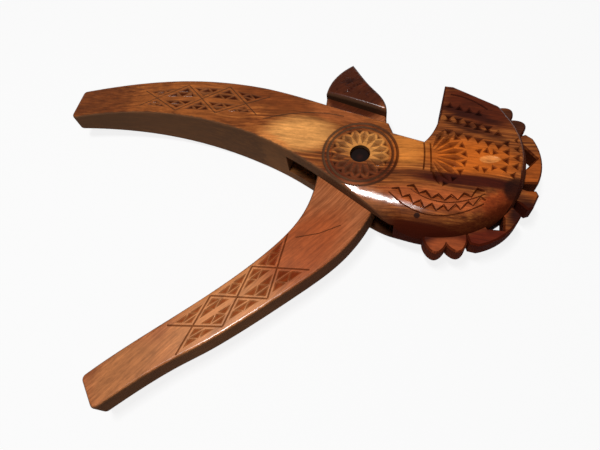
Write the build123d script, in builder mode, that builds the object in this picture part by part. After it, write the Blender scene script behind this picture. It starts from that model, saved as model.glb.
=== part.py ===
"""Hand-carved wooden lever nutcracker: one carved block, one lever through its mortise, one pin.

Frame: millimetres, +Z up. The pivot axis is the Z axis and the block rests on z = 0. The fixed handle
runs to -X, the head with the fixed jaw lies at +X, and the nut mouth opens to +Y. The lever is drawn in
its open position.
"""
from build123d import *
from math import cos, hypot, radians, sin, sqrt
import os

# ---- thicknesses (along Z) ----
block_t = 28.0          # block at the head and the pivot
tip_t = 10.5            # block at the end of the fixed handle
tongue_t = 12.4         # lever, along its whole handle and its tongue
side_gap = 0.3          # gap between the tongue and each cheek
jaw_t = 23.0            # moving jaw where it stands clear of the cheeks
jaw_tip_t = 13.0        # moving jaw at its point
jaw_sag = 1.2           # how far the jaw's faces curve in before they run to the point
crest_t = 9.4           # pierced crest on the rim of the head

# ---- fixed handle (plan) ----
handle_reach = 164.4    # pivot to the end of the handle
tip_y = 12.7            # middle of the handle's end
tip_w = 19.2
grip_x = 98.0           # where the handle arches furthest and is widest
grip_y = 21.9
grip_w = 24.0
grip_t = 23.6           # thickness there
neck_x = 38.0           # just before the mortise
neck_y = 13.8
neck_w = 32.4
taper_x = 55.0          # the block is full thickness from here to the head
end_round = 2.5         # corner radius of both handle ends, in plan

# ---- head (plan) ----
head_x = 34.5
head_y = 8.0
head_r = 41.5
join_slope = 27.0       # slope at which the near edge runs into the head
mouth_left = 10.3
mouth_right = 32.9
cheek_mid_x = 11.0      # the cheek's far edge half way from the neck to the mouth
cheek_mid_y = 24.4
cheek_y = 20.0          # the same edge at the mouth
mouth_floor_y = 13.4
floor_drop = 2.6        # how much the floor falls towards the beak
floor_chamfer = 3.0
floor_round = 4.6       # how far before the beak the floor ends
beak_wall_y = 28.8      # the beak's inner wall stands upright from here
beak_far_y = 46.9
beak_lean = 0.8         # how far that wall leans out at its top
beak_tip_w = 4.0
beak_angle = 42.0       # the head's circle ends here, at the back of the beak
beak_round = 5.0

# ---- full round on the near side of the head ----
nose_depth = 16.0       # how far it reaches in from the rim
nose_to = -48.0         # it follows the head's circle up to this angle, then runs straight on
back_depth = 5.0        # the same for the fainter rounding of the rest of the rim
back_to = 38.0
round_from = -96.0      # both start here, and run straight on towards the fixed handle
rim_land = 0.25         # upright strip left at mid height

# ---- lever (plan; stations run from the pivot along lever_angle, offsets towards the head) ----
lever_angle = 235.4
lever_reach = 159.4     # middle of the lever's end
lever_tip_off = 0.2
lever_tip_w = 15.4
lever_tip_skew = 3.6    # the end is sawn off at a slight slant
grip_s = 110.0
grip_off = 8.5
lever_grip_w = 19.0
waist_s = 64.0
waist_off = 14.8
waist_w = 22.2
root_s = 36.5
root_off = 13.9
root_w = 27.7
tongue_left = 19.2
tongue_right = 13.4
tongue_y = 9.0          # where the tongue is measured, on the near side of the pivot
shoulder_r = 30.2       # distance from the pivot to the jaw's flat shoulder
shoulder_turn = -13.0   # direction of the shoulder, from the X axis
jaw_left = 24.8
jaw_right = 7.9
jaw_mid_x = 2.6
jaw_mid_y = 44.6
jaw_peak_x = 15.4
jaw_peak_y = 61.4
jaw_round = 2.0
edge_round = 1.4        # worn edges of both carved pieces

# ---- room for the lever's swing inside the mortise (plan) ----
root_room = 22.4        # near the fixed handle, beyond the tongue; closing stops there
jaw_room = 6.7          # beside the jaw, towards the fixed handle; opening stops there
nose_room = 7.4         # on the near side of the head, beyond the tongue
mouth_land = 3.8        # floor left between the mortise and the beak's wall

# ---- pin ----
pin_d = 9.6
running_gap = 0.08      # radial gap between the pin and the lever's bore
pin_sink = 1.6          # how far each pin end lies below the face
pin_dome = 1.0

# ---- crest (plan, in angles from its middle knob, about the head's centre) ----
crest_axis = -17.0
far_out = 7.6           # how far the knob, the far arch and its buds stand out from the rim
near_out = 6.8          # the same for the near arch and its buds
crest_root = 3.0        # how far the crest is let into the head
arch_start = 8.0
arch_shoulder = 11.5
arch_peak = 24.0
arch_foot = 42.0
arch_end = 46.0
arch_fall = 1.4         # how far the arch drops at its shoulder
far_window = (20.0, 28.0, 40.5)     # where the far arch's window starts, peaks and ends
near_window = (19.0, 25.5, 33.0)    # the same for the near arch
strand_w = 2.2          # the arch between its window and its rim
knob_w = 11.0           # middle knob at its outer end
knob_waist = 6.5
knob_bevel = 1.8
bud_angles = (53.0, 65.0)
bud_long = 8.6          # a bud half way out, along the rim
bud_wide = 6.8
bud_stem = 9.0          # the same at its root, where it joins the next one
crest_bevel = 0.8       # cut along the edges of the crest

# ---- carving: the rosette round the pin, the fan beside the mouth, a lattice on each handle (plan) ----
knife_slope = 0.75      # how steeply the sides of a pit fall
overcut = 0.5           # how far a pit's tool stands out of the wood, as a share of its depth
petals = 16
petal_hub = 5.5         # the petals start, are widest and end at these distances from the pivot
petal_waist = 10.2
petal_tip = 12.9
petal_w = 3.8
ring_radii = (15.3, 17.5)
ring_w = 1.3
fan_x = 31.0
fan_y = 4.2
fan_turn = 3.0          # direction of its middle petal
fan_step = 17.0         # angle from one petal to the next
fan_petals = 9
fan_hub = 4.0
fan_waist = 12.2
fan_tip = 16.6
fan_w = 3.4
lattice_start = 117.0   # station of the lattice's first corner on the far side
lattice_step = 22.2
lattice_skew = 4.6      # the near corners lie this much further out
lattice_margin = 2.2    # corners of the lattice, in from the lever's edges
lattice_crosses = 3
grip_far = ((124.0, 24.5), (99.5, 30.2), (75.5, 31.0), (52.0, 26.8))    # the fixed handle's lattice: its
grip_near = ((124.0, 14.2), (101.5, 12.8), (78.5, 13.4), (56.0, 14.6))  # corners, back from the pivot
strap_w = 2.6
ridge_w = 0.5           # wood left between two chips of one field

os.makedirs("parts", exist_ok=True)

mid_z = block_t / 2
mortise_t = tongue_t + 2 * side_gap
outside = handle_reach + head_r     # overshoot of the tools that cut or trim


def slope(angle):
    """A plan direction from its angle."""
    return cos(radians(angle)), sin(radians(angle))


def on_head(angle, radius):
    """A plan point at this angle and radius about the head's centre."""
    return head_x + radius * cos(radians(angle)), head_y + radius * sin(radians(angle))


def on_crest(angle, radius):
    """The same, with the angle taken from the crest's middle knob."""
    return on_head(crest_axis + angle, radius)


def from_knob(out, across):
    """A plan point out from the head's centre through the middle knob, and across from there."""
    along = slope(crest_axis)
    return head_x + out * along[0] - across * along[1], head_y + out * along[1] + across * along[0]


def on_lever(station, offset):
    """A plan point along the lever, offset towards the head."""
    along = slope(lever_angle)
    return station * along[0] - offset * along[1], station * along[1] + offset * along[0]


def on_shoulder(x):
    """The point of the jaw's shoulder at this x."""
    return x, (shoulder_r + x * sin(radians(shoulder_turn))) / cos(radians(shoulder_turn))


# ---- carving tools ----
def inset(corners, margin):
    """A triangle whose sides lie this far inside, and the distance from its middle to each side."""
    a, b, c = (Vector(*corner) for corner in corners)
    sides = ((b - c).length, (c - a).length, (a - b).length)
    middle = (a * sides[0] + b * sides[1] + c * sides[2]) / sum(sides)
    reach = abs((b - a).cross(c - a).Z) / sum(sides)
    shrunk = [middle + (corner - middle) * (1 - margin / reach) for corner in (a, b, c)]
    return [(corner.X, corner.Y) for corner in shrunk], (middle.X, middle.Y), reach - margin


def pit(face, corners, middle, depth):
    """A tool with these corners on a face and its point below the middle."""
    mouth = [(middle[0] + (x - middle[0]) * (1 + overcut), middle[1] + (y - middle[1]) * (1 + overcut))
             for x, y in corners]
    with BuildPart() as tool:
        with BuildSketch(face.offset(overcut * depth)) as opening:
            with BuildLine():
                Polyline(*mouth, close=True)
            make_face()
        loft([opening.sketch.face(), Vertex(*middle, face.origin.Z - depth)], ruled=True)
    return tool.part


def petal(face, centre, turn, hub, waist, tip, width):
    """A pit with the outline of a kite, pointing away from a centre."""
    along = slope(turn)
    half = width / 2
    long_side = hypot(waist - hub, half)
    reach = (tip - hub) * half / (long_side + hypot(tip - waist, half))
    deepest = hub + reach * long_side / half
    corners = [(centre[0] + out * along[0] - across * along[1], centre[1] + out * along[1] + across * along[0])
               for out, across in ((hub, 0), (waist, half), (tip, 0), (waist, -half))]
    middle = (centre[0] + deepest * along[0], centre[1] + deepest * along[1])
    return pit(face, corners, middle, reach * knife_slope)


def three_chips(top, corners):
    """Three chips in the corners of a triangular field between straps, on a face whose height at x is top."""
    a, b, c = (Vector(*corner) for corner in inset(corners, strap_w / 2)[0])
    tools = []
    for corner, left, right in ((a, b, c), (b, c, a), (c, a, b)):
        chip = [(point.X, point.Y) for point in (corner, (corner + left) / 2, (corner + right) / 2)]
        outline, middle, reach = inset(chip, ridge_w / 2)
        tools.append(pit(Plane.XY.offset(top(middle[0])), outline, middle, reach * knife_slope))
    return tools


# ---- trimming tools: what remains of the block once the rim of the head is rounded ----
round_r = head_r + rim_land


def rim_plane(angle):
    """An upright plane through the head's axis; its x runs out to the rim at this angle."""
    return Plane(origin=(head_x, head_y, mid_z), x_dir=(*slope(angle), 0), z_dir=(*slope(angle - 90), 0))


def rim_section(depth, inner):
    """Full thickness inside, half an ellipse at the rim; inner is its reach past the axis."""
    with Locations((round_r - depth, 0)):
        Ellipse(depth, mid_z)
        Rectangle(round_r - depth + inner, block_t, align=(Align.MAX, Align.CENTER))


trims = []
for depth, last in ((nose_depth, nose_to), (back_depth, back_to)):
    with BuildPart() as trim:
        with BuildSketch(rim_plane(round_from)):
            rim_section(depth, 0)
        revolve(axis=Axis((head_x, head_y, 0), (0, 0, 1)), revolution_arc=last - round_from)
        with BuildSketch(rim_plane(round_from)):
            rim_section(depth, outside)
        extrude(amount=outside)
        with BuildSketch(rim_plane(last)):
            rim_section(depth, outside)
        extrude(amount=-outside)
    trims.append(trim.part)

# ---- crest: a middle knob, an arch with a window on each side, and two buds beyond each arch ----
knob_r = head_r + far_out
root_r = head_r - crest_root
knob_side = knob_w / 2


def standing(piece):
    """The edges round the two faces of a crest piece, where they stand out from the head."""
    outlines = piece.edges().filter_by(Plane.XY)
    return outlines.filter_by(lambda edge: hypot(edge.center().X - head_x, edge.center().Y - head_y) > head_r)


with BuildPart() as bud:
    with BuildSketch():
        with BuildLine():
            Spline((-bud_wide, -bud_stem / 2), (0, -bud_long / 2), (bud_wide / 2, 0), (0, bud_long / 2),
                   (-bud_wide, bud_stem / 2))
            Line((-bud_wide, bud_stem / 2), (-bud_wide, -bud_stem / 2))
        make_face()
    extrude(amount=crest_t)
    chamfer(bud.edges().filter_by(Plane.XY).filter_by(GeomType.BSPLINE), length=crest_bevel)

with BuildPart() as knob:
    with BuildSketch():
        with BuildLine():
            Polyline(from_knob(root_r, -knob_waist / 2), from_knob(head_r, -knob_waist / 2),
                     from_knob(knob_r - knob_bevel, -knob_side), from_knob(knob_r, knob_bevel - knob_side),
                     from_knob(knob_r, knob_side - knob_bevel), from_knob(knob_r - knob_bevel, knob_side),
                     from_knob(head_r, knob_waist / 2), from_knob(root_r, knob_waist / 2), close=True)
        make_face()
    extrude(amount=crest_t)
    chamfer(standing(knob), length=crest_bevel)

crest = [knob.part]
for side, out, window in ((1, far_out, far_window), (-1, near_out, near_window)):
    rim_r = head_r + out
    start, peak, end = (side * angle for angle in window)
    with BuildPart() as arch:
        with BuildSketch():
            with BuildLine():
                shoulder = on_crest(side * arch_shoulder, rim_r - arch_fall)
                foot = on_crest(side * arch_foot, rim_r - arch_fall / 2)
                ThreePointArc(shoulder, on_crest(side * arch_peak, rim_r), foot)
                Polyline(foot, on_crest(side * arch_end, rim_r - 2 * arch_fall),
                         on_crest(side * arch_end, root_r), on_crest(side * arch_start, root_r), shoulder)
            make_face()
            with BuildLine():
                Polyline(on_crest(start, root_r), on_crest(start, head_r), on_crest(peak, rim_r - strand_w),
                         on_crest(end, head_r), on_crest(end, root_r), close=True)
            make_face(mode=Mode.SUBTRACT)
        extrude(amount=crest_t)
        chamfer(standing(arch), length=crest_bevel)
    crest.append(arch.part)
    for angle in bud_angles:
        place = Location((*on_crest(side * angle, rim_r - bud_wide / 2), 0), (0, 0, crest_axis + side * angle))
        crest.append(bud.part.moved(place))

# ---- carved pits ----
block_face = Plane.XY.offset(block_t)
rosette = [petal(block_face, (0, 0), 360 / petals * k, petal_hub, petal_waist, petal_tip, petal_w)
           for k in range(petals)]
fan = [petal(block_face, (fan_x, fan_y), fan_turn + fan_step * (k - (fan_petals - 1) / 2),
             fan_hub, fan_waist, fan_tip, fan_w) for k in range(fan_petals)]


def beside_edge(station, side):
    """A plan point on the lever, near its far edge (side -1) or its near edge (side 1)."""
    known = ((root_s, root_off, root_w), (waist_s, waist_off, waist_w), (grip_s, grip_off, lever_grip_w),
             (lever_reach, lever_tip_off, lever_tip_w))
    before, after = next(pair for pair in zip(known, known[1:]) if station <= pair[1][0])
    share = (station - before[0]) / (after[0] - before[0])
    middle, width = (start + share * (end - start) for start, end in zip(before[1:], after[1:]))
    return on_lever(station, middle + side * (width / 2 - lattice_margin))


def crossing(a, b, c, d):
    """Where the strap from a to b meets the strap from c to d."""
    a, b, c, d = (Vector(*corner) for corner in (a, b, c, d))
    share = (c - a).cross(d - c).Z / (b - a).cross(d - c).Z
    place = a + (b - a) * share
    return place.X, place.Y


def lattice(top, far, near):
    """The chips of a lattice: its straps cross between these corners, and its fields are triangles."""
    crosses = [crossing(far[k], near[k + 1], near[k], far[k + 1]) for k in range(len(far) - 1)]
    chips = []
    for corners in (far, near):
        for k, cross in enumerate(crosses):
            chips += three_chips(top, (corners[k], corners[k + 1], cross))
        for k in range(1, len(crosses)):
            chips += three_chips(top, (crosses[k - 1], corners[k], crosses[k]))
    return chips


def over_lever(x):
    """Height of the lever's upper face, which is flat."""
    return mid_z + tongue_t / 2


def over_handle(x):
    """Height of the fixed handle's upper face at x. It tapers along a flat arc, nearly a parabola."""
    if x > -taper_x:
        return block_t
    known = ((-handle_reach, mid_z + tip_t / 2), (-grip_x, mid_z + grip_t / 2), (-taper_x, block_t))
    height = 0.0
    for place, known_height in known:
        share = 1.0
        for other, _ in known:
            if other != place:
                share *= (x - other) / (place - other)
        height += share * known_height
    return height


corners_at = [lattice_start - lattice_step * k for k in range(lattice_crosses + 1)]
lever_lattice = lattice(over_lever, [beside_edge(station, -1) for station in corners_at],
                        [beside_edge(station + lattice_skew, 1) for station in corners_at])
handle_lattice = lattice(over_handle, [(-back, across) for back, across in grip_far],
                         [(-back, across) for back, across in grip_near])

# ---- body: handle, cheeks, head, beak and crest, all carved from one block ----
tip_far = (-handle_reach, tip_y + tip_w / 2)
tip_near = (-handle_reach, tip_y - tip_w / 2)
neck_far = (-neck_x, neck_y + neck_w / 2)
neck_near = (-neck_x, neck_y - neck_w / 2)
near_join = on_head(-90.0 - join_slope, head_r)
lip = (mouth_left, cheek_y)
floor_left = (mouth_left + floor_chamfer, mouth_floor_y + floor_drop / 2)
floor_right = (mouth_right - floor_round, mouth_floor_y - floor_drop / 2)
beak_wall = (mouth_right + beak_lean, beak_wall_y)
beak_tip = (mouth_right + beak_lean, beak_far_y)
beak_top = (mouth_right + beak_lean + beak_tip_w, beak_far_y)
beak_back = on_head(beak_angle, head_r)

with BuildPart() as body:
    with BuildSketch() as plan:
        with BuildLine():
            Spline(tip_near, (-grip_x, grip_y - grip_w / 2), neck_near, near_join,
                   tangents=[slope(14), slope(-join_slope)])
            ThreePointArc(near_join, on_head(0, head_r), beak_back)
            Polyline(beak_back, beak_top, beak_tip, beak_wall)
            Spline(beak_wall, floor_right, tangents=[slope(-95), slope(-125)])
            Polyline(floor_right, floor_left, lip)
            Spline(lip, (-cheek_mid_x, cheek_mid_y), neck_far, (-grip_x, grip_y + grip_w / 2), tip_far,
                   tangents=[slope(163), slope(194)])
            Line(tip_far, tip_near)
        make_face()
        fillet(plan.vertices().group_by(Axis.X)[0], radius=end_round)
        fillet(plan.vertices().sort_by_distance(beak_back)[0], radius=beak_round)
    extrude(amount=block_t)
    # the handle tapers evenly in thickness, top and bottom, towards its end
    with BuildSketch(Plane.XZ.offset(-outside)):
        with BuildLine():
            under = ThreePointArc((-handle_reach, mid_z - tip_t / 2), (-grip_x, mid_z - grip_t / 2), (-taper_x, 0))
            over = ThreePointArc((-handle_reach, mid_z + tip_t / 2), (-grip_x, mid_z + grip_t / 2),
                                 (-taper_x, block_t))
            Polyline(under @ 1, (outside, 0), (outside, block_t), over @ 1)
            Polyline(over @ 0, (-outside, mid_z + tip_t / 2), (-outside, mid_z - tip_t / 2), under @ 0)
        make_face()
    extrude(amount=2 * outside, mode=Mode.INTERSECT)
    for rounding in trims:
        add(rounding, mode=Mode.INTERSECT)
    walls = body.faces().filter_by(lambda face: abs(face.normal_at().Z) < 0.01)
    rims = walls.edges().filter_by(lambda edge: abs(edge.center().Z - mid_z) > tip_t / 4)
    fillet(rims, radius=edge_round)
    with Locations((0, 0, mid_z - crest_t / 2)):
        add(crest)
    # the mortise runs through between the cheeks, from the near side to the mouth
    with BuildSketch(Plane.XY.offset(mid_z - mortise_t / 2)):
        with BuildLine():
            root_wall = -tongue_left - root_room
            jaw_wall = -jaw_left - jaw_room
            nose_wall = tongue_right + nose_room
            mouth_wall = mouth_right - mouth_land
            Polyline((root_wall, -outside), (root_wall, -root_room), (-neck_x + 1.2, neck_near[1]),
                     (jaw_wall, neck_far[1]), (jaw_wall, outside), (mouth_right, outside),
                     (mouth_wall, mouth_floor_y), (nose_wall, head_y - head_r), (nose_wall, -outside),
                     close=True)
        make_face()
    extrude(amount=mortise_t, mode=Mode.SUBTRACT)
    with Locations(Plane.XY.offset(block_t)):
        Hole(pin_d / 2)
    add(rosette + fan + handle_lattice, mode=Mode.SUBTRACT)
    with BuildSketch(Plane.XZ):
        for ring_r in ring_radii:
            with Locations((ring_r, block_t)):
                Rectangle(ring_w / sqrt(2), ring_w / sqrt(2), rotation=45)
    revolve(axis=Axis.Z, mode=Mode.SUBTRACT)
body.part.label = "body"
export_step(body.part, "parts/body.step")

# ---- lever: handle, tongue and moving jaw, carved from one piece ----
shoulder_left = on_shoulder(-jaw_left)
shoulder_right = on_shoulder(jaw_right)
jaw_mid = (-jaw_mid_x, jaw_mid_y)
jaw_peak = (-jaw_peak_x, jaw_peak_y)
end_left = on_lever(lever_reach - lever_tip_skew / 2, lever_tip_off - lever_tip_w / 2)
end_right = on_lever(lever_reach + lever_tip_skew / 2, lever_tip_off + lever_tip_w / 2)

with BuildPart() as jaw:
    with BuildSketch(Plane.XY.offset(mid_z - jaw_t / 2)):
        with BuildLine():
            Spline(shoulder_left, jaw_peak, tangents=[slope(92), slope(50)])
            Spline(jaw_peak, jaw_mid, shoulder_right, tangents=[slope(-55), slope(-82)])
            Line(shoulder_right, shoulder_left)
        make_face()
    extrude(amount=jaw_t)
    # both faces dome from the shoulder to the point
    with BuildSketch(Plane.XZ):
        with BuildLine():
            near_r = shoulder_r - jaw_round
            far_r = jaw_peak_y + jaw_round
            bulge_r = (shoulder_r + jaw_peak_y) / 2
            top = ThreePointArc((near_r, mid_z + jaw_t / 2), (bulge_r, mid_z + jaw_t / 2 - jaw_sag),
                                (far_r, mid_z + jaw_tip_t / 2))
            bottom = ThreePointArc((near_r, mid_z - jaw_t / 2), (bulge_r, mid_z - jaw_t / 2 + jaw_sag),
                                   (far_r, mid_z - jaw_tip_t / 2))
            Line(top @ 0, bottom @ 0)
            Line(top @ 1, bottom @ 1)
        make_face()
    revolve(axis=Axis.Z, mode=Mode.INTERSECT)
    fillet(jaw.edges().filter_by(lambda edge: abs(edge.center().Z - mid_z) > jaw_tip_t / 4), radius=jaw_round)

with BuildPart() as lever:
    with BuildSketch(Plane.XY.offset(mid_z - tongue_t / 2)) as lever_plan:
        with BuildLine():
            Spline(end_left, on_lever(grip_s, grip_off - lever_grip_w / 2),
                   on_lever(waist_s, waist_off - waist_w / 2), on_lever(root_s, root_off - root_w / 2),
                   (-tongue_left, -tongue_y), shoulder_left, tangents=[slope(lever_angle - 184), slope(95)])
            Line(shoulder_left, shoulder_right)
            Spline(shoulder_right, (tongue_right, -tongue_y), on_lever(root_s, root_off + root_w / 2),
                   on_lever(waist_s, waist_off + waist_w / 2), on_lever(grip_s, grip_off + lever_grip_w / 2),
                   end_right, tangents=[slope(-80), slope(lever_angle - 7)])
            Line(end_right, end_left)
        make_face()
        fillet(lever_plan.vertices().sort_by_distance(on_lever(lever_reach, lever_tip_off))[:2], radius=end_round)
    extrude(amount=tongue_t)
    flat_rims = lever.edges().filter_by(Plane.XY)
    fillet(flat_rims.filter_by(lambda edge: edge.center().Y < on_shoulder(0)[1] / 2), radius=edge_round)
    add(jaw.part)
    with Locations(Plane.XY.offset(block_t)):
        Hole(pin_d / 2 + running_gap)
    add(lever_lattice, mode=Mode.SUBTRACT)
lever.part.label = "lever"
export_step(lever.part, "parts/lever.step")

# ---- pivot pin: a hard wooden dowel driven through both cheeks, sunk below the faces ----
with BuildPart() as pivot_pin:
    with BuildSketch(Plane.XY.offset(pin_sink)):
        Circle(pin_d / 2)
    extrude(amount=block_t - 2 * pin_sink)
    fillet(pivot_pin.edges().filter_by(GeomType.CIRCLE), radius=pin_dome)
pivot_pin.part.label = "pivot_pin"
export_step(pivot_pin.part, "parts/pivot_pin.step")
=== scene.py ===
# %% [markdown]
# # A carved lever nutcracker
# The nutcracker has three wooden parts: a block with a handle and a hooked head, a lever with a jaw that
# swings in the block's mortise, and the pin that it turns on. A carver sawed them out, rounded the edges
# with a knife, cut traditional chip carving into the upper face and varnished the whole. This lesson
# follows the same order: the sawn parts, with their largest cuts, come from the frame, then the knife
# adds the small cuts, then the varnish.

# %% The frame
import bpy
import random
from math import cos, hypot, pi, radians, sin
from mathutils import Matrix, Vector
from mathutils.bvhtree import BVHTree


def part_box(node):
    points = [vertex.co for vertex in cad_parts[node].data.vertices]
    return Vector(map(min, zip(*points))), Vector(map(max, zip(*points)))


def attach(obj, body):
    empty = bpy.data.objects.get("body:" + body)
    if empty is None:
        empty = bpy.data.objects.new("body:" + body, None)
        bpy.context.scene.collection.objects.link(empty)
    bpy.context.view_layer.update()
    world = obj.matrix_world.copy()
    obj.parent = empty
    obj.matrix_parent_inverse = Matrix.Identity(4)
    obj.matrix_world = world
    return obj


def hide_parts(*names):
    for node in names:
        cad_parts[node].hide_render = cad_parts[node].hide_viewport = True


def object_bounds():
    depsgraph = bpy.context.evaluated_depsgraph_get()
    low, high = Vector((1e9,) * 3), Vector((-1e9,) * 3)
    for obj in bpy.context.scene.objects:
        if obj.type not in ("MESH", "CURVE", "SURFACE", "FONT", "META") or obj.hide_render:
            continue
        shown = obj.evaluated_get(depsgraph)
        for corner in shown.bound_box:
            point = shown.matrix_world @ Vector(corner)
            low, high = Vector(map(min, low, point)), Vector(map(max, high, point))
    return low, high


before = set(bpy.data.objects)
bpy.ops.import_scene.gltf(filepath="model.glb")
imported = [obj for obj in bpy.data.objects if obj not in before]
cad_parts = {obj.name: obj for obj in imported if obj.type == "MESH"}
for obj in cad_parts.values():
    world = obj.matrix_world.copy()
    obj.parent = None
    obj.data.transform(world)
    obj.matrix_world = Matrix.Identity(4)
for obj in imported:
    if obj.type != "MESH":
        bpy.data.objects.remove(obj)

MM = 0.001
cad_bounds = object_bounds()

# %% [markdown]
# ## Workpieces
# The parts arrive as loose triangles, and they may not be changed. So each carved piece starts as a copy,
# merged into one closed mesh that a knife can cut. Flat neighbours are dissolved into whole faces, and the
# stored normals are cleared, because they belong to the uncut shape and would smear the light over every
# new cut. A tree of the same faces later answers how high the wood stands at a place.

# %% Copies of the block and the lever
def only(*things):
    """Selects these objects and nothing else, and makes the first one active."""
    if bpy.context.object and bpy.context.object.mode != "OBJECT":
        bpy.ops.object.mode_set(mode="OBJECT")
    bpy.ops.object.select_all(action="DESELECT")
    for thing in things:
        thing.select_set(True)
    bpy.context.view_layer.objects.active = things[0]


def workpiece(name, node):
    """A merged copy of a part, under its own name."""
    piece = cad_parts[node].copy()
    piece.data = piece.data.copy()
    piece.name = name
    piece.data.name = name
    piece.parent = None
    piece.matrix_world = Matrix()
    bpy.context.scene.collection.objects.link(piece)
    only(piece)
    bpy.ops.object.mode_set(mode="EDIT")
    bpy.ops.mesh.select_all(action="SELECT")
    bpy.ops.mesh.remove_doubles(threshold=0.002 * MM)
    bpy.ops.mesh.customdata_custom_splitnormals_clear()
    bpy.ops.mesh.dissolve_limited(angle_limit=radians(0.3))
    bpy.ops.object.mode_set(mode="OBJECT")
    print(name, len(piece.data.polygons), "faces")
    return piece


def wood_of(piece):
    """The surface, for looking up places on it."""
    mesh = piece.data
    return BVHTree.FromPolygons([v.co for v in mesh.vertices], [p.vertices for p in mesh.polygons])


block = workpiece("carved_block", "body")
lever = workpiece("carved_lever", "lever")
block_wood = wood_of(block)
lever_wood = wood_of(lever)

# %% [markdown]
# ## Places on the wood
# Every ornament is laid out in plan, in millimetres from the pin, as a carver draws it on the face. On the
# lever it is easier to count along the lever and across it. One function then looks straight down and
# finds the wood there, with its slope, so the same chip can sit on the flat face or on a rounded edge.

# %% Looking a place up
LEVER_TURN = 235.4      # direction of the lever from the pin, in degrees
BLOCK_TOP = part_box("body")[1][2] / MM
LEVER_TOP = 20.2        # height of the lever's upper face, in mm


def on_lever(station, offset):
    """A plan place on the lever: station from the pin, offset across it towards the head."""
    turn = radians(LEVER_TURN)
    return station * cos(turn) - offset * sin(turn), station * sin(turn) + offset * cos(turn)


def upright(spot, up, turn):
    """A matrix at this spot: its z is up, and its x runs in the plan direction turn."""
    along = Vector((cos(radians(turn)), sin(radians(turn)), 0))
    along = (along - up * along.dot(up)).normalized()
    across = up.cross(along)
    return Matrix.Translation(spot) @ Matrix((along, across, up)).transposed().to_4x4()


def on_wood(wood, place, turn):
    """A matrix that stands on the wood at this plan place: its z is square to the surface."""
    spot, up, _, _ = wood.ray_cast(Vector((place[0] * MM, place[1] * MM, 0.1)), Vector((0, 0, -1)))
    if spot is None:
        return None
    return upright(spot, up, turn)


def over_field(wood, corners, place):
    """The same, on the plane through three uncut corners: where the frame has already cut between them."""
    a, b, c = (on_wood(wood, corner, 0.0).translation for corner in corners)
    up = (b - a).cross(c - a).normalized()
    if up.z < 0:
        up = -up
    x, y = place[0] * MM, place[1] * MM
    return upright(Vector((x, y, a.z - ((x - a.x) * up.x + (y - a.y) * up.y) / up.z)), up, 0.0)


print("upper faces", round(BLOCK_TOP, 1), "and", LEVER_TOP, "mm up")

# %% [markdown]
# ## The carver's tools
# Chip carving has few cuts. A **chip** is a three-sided pit made with three strokes of a knife. A
# **pod** is a pit with a long oval outline. A **thread** is a V-shaped line cut with a parting tool. Each
# pit tool is a cone with few sides, turned over so that its point is below the surface. It is modelled
# once and copied for each cut.

# %% Pit tools
LIFT = 0.3              # how far a tool stands out above the surface, as a share of its depth
KNIFE_SLOPE = 0.75      # how steeply the sides of a pit fall


def pit_tool(name, sides):
    """A unit tool: on the surface its outline runs from x = 0 to 1 and is 1 wide, and it is 1 deep."""
    only(block)
    bpy.ops.mesh.primitive_cone_add(vertices=sides, radius1=0.0, radius2=1.0 + LIFT, depth=1.0 + LIFT,
                                    location=(0, 0, (LIFT - 1.0) / 2.0), rotation=(0, 0, -pi / 2))
    tool = bpy.context.object
    tool.name = name
    bpy.ops.object.transform_apply(location=True, rotation=True, scale=True)
    bpy.ops.object.mode_set(mode="EDIT")
    bpy.ops.mesh.select_all(action="SELECT")
    bpy.ops.mesh.remove_doubles(threshold=1e-5)
    bpy.ops.object.mode_set(mode="OBJECT")
    reach = [v.co.x / (1.0 + LIFT) for v in tool.data.vertices if v.co.z > 0]
    spread = [v.co.y / (1.0 + LIFT) for v in tool.data.vertices if v.co.z > 0]
    low, length, width = min(reach), max(reach) - min(reach), max(spread) - min(spread)
    tool.data.transform(Matrix.Diagonal((1 / length, 1 / width, 1, 1)) @ Matrix.Translation((-low, 0, 0)))
    return tool


chip_tool = pit_tool("chip_tool", 3)
pod_tool = pit_tool("pod_tool", 12)
print("tools", chip_tool.name, pod_tool.name)

# %% Pressing a tool into the wood
def press(cuts, tool, wood, place, turn, length, width, depth=None):
    """Adds one cut that starts at this place, runs in the direction turn and has this size."""
    stand = on_wood(wood, place, turn)
    if stand is None:
        return
    depth = depth or KNIFE_SLOPE * length * width / (width + 2 * hypot(length, width / 2))
    cut = tool.copy()
    cut.data = tool.data.copy()
    cut.data.transform(stand @ Matrix.Diagonal((length * MM, width * MM, depth * MM, 1)))
    bpy.context.scene.collection.objects.link(cut)
    cuts.append(cut)


# %% Chips between drawn lines
by_eye = random.Random(5)       # the small errors of a hand that works without a ruler
SLIP = 0.2              # how far a corner may land from its place, in mm along x and along y
LEAN = 0.72             # how far towards its first corner a steep chip's deepest place can lie, as a share


def inset(corners, margin):
    """A triangle whose sides lie this far inside, its middle, and the distance from there to each side."""
    a, b, c = (Vector(corner) for corner in corners)
    sides = ((b - c).length, (c - a).length, (a - b).length)
    middle = (a * sides[0] + b * sides[1] + c * sides[2]) / sum(sides)
    reach = abs((b - a).cross(c - a)) / sum(sides)
    return [middle + (corner - middle) * (1 - margin / reach) for corner in (a, b, c)], middle, reach - margin


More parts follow.
